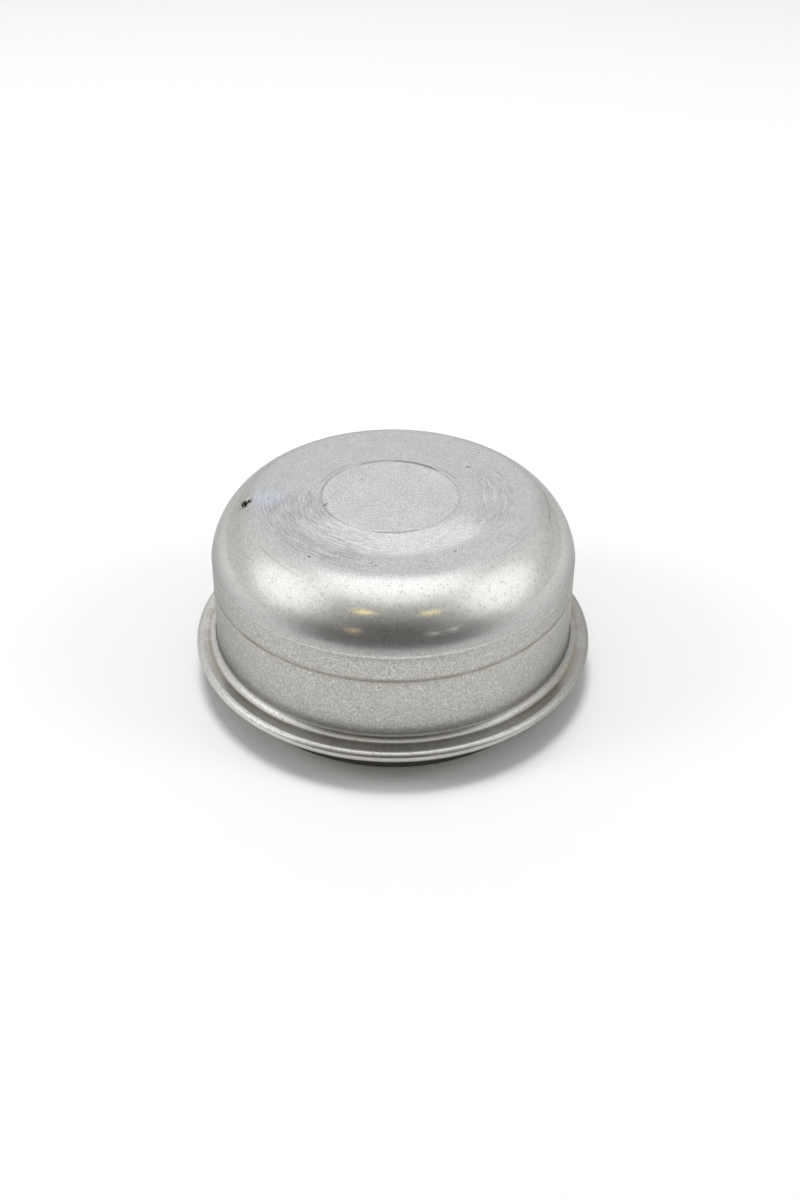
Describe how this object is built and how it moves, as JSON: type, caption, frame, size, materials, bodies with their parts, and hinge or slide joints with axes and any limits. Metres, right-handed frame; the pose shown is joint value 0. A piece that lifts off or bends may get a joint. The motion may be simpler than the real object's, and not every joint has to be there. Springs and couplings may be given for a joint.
{
  "type": "wheel hub dust cap",
  "caption": "Round press-in dust cap of drawn sheet steel with a domed end, a folded flange and a short skirt that is driven into a wheel hub.",
  "frame": {"origin": "on the cap's axis, level with the lower edge of the skirt", "axes": "+Z along the cap's axis, from the skirt to the crown; -Y is the front, the side nearest the camera; +X is to the right"},
  "size_m": [0.0588, 0.0588, 0.0288],
  "materials": {
    "plated_steel": "worn bright plated sheet steel, satin crown, polished shoulder, fine-grained wall"
  },
  "bodies": {
    "root": {"dust_cap": "plated_steel"}
  },
  "joints": []
}
